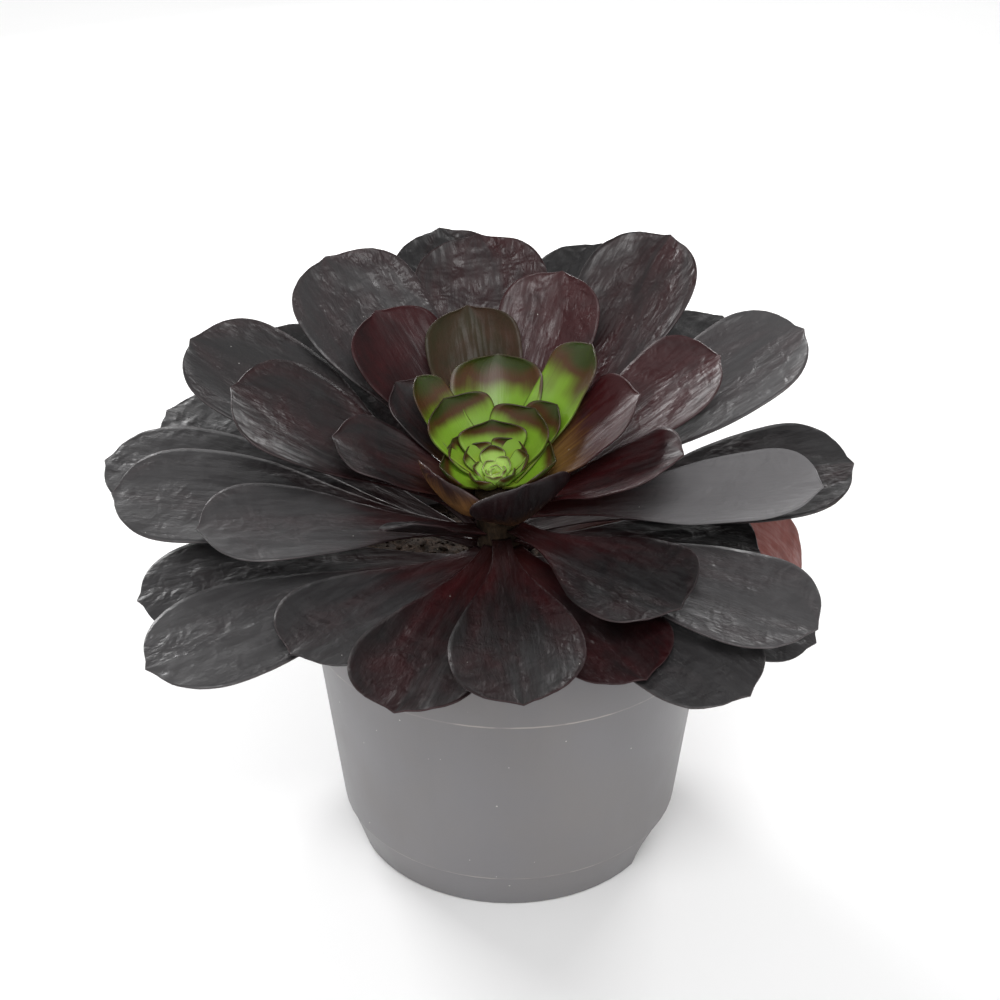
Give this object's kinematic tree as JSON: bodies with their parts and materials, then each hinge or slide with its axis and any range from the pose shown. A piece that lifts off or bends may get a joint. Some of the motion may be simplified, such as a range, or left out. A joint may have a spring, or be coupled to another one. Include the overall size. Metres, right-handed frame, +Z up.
{
  "type": "potted semponium",
  "caption": "Dark burgundy succulent rosette with a green heart on a short leaning stem, rooted in potting mix in a plain grey tapered nursery pot.",
  "frame": {"origin": "centre of the pot's flat base, on the surface that it stands on", "axes": "+Z up along the pot's axis; -Y is the front, towards which the rosette leans; +X is to the right seen from the front"},
  "size_m": [0.3095, 0.2672, 0.2429],
  "materials": {
    "pot_plastic": "satin grey moulded plastic",
    "potting_mix": "rough dark brown fibrous mix",
    "stem_bark": "rough brown bark with leaf scars",
    "heart_leaf": "satin green leaf with maroon tips",
    "dark_leaf": "satin burgundy-black leaf with a pale edge"
  },
  "bodies": {
    "root": {"pot": "pot_plastic", "soil": "potting_mix", "stem": "stem_bark", "heart_rosette": "heart_leaf", "leaf_00": "dark_leaf", "leaf_01": "dark_leaf", "leaf_03": "dark_leaf", "leaf_04": "dark_leaf", "leaf_05": "dark_leaf", "leaf_06": "dark_leaf", "leaf_07": "dark_leaf", "leaf_09": "dark_leaf", "leaf_10": "dark_leaf", "leaf_12": "dark_leaf", "leaf_13": "dark_leaf", "leaf_14": "dark_leaf", "leaf_15": "dark_leaf", "leaf_16": "dark_leaf", "leaf_17": "dark_leaf", "leaf_18": "dark_leaf", "leaf_19": "dark_leaf", "leaf_20": "dark_leaf", "leaf_21": "dark_leaf", "leaf_22": "dark_leaf", "leaf_24": "dark_leaf", "leaf_25": "dark_leaf", "leaf_26": "dark_leaf", "leaf_27": "dark_leaf", "leaf_28": "dark_leaf", "leaf_29": "dark_leaf", "leaf_30": "dark_leaf", "leaf_31": "dark_leaf", "leaf_33": "dark_leaf", "leaf_34": "dark_leaf", "leaf_36": "dark_leaf", "leaf_37": "dark_leaf", "leaf_39": "dark_leaf", "leaf_40": "dark_leaf", "leaf_41": "dark_leaf", "leaf_42": "dark_leaf", "leaf_43": "dark_leaf", "leaf_46": "dark_leaf", "leaf_47": "dark_leaf", "leaf_49": "dark_leaf"}
  },
  "joints": []
}
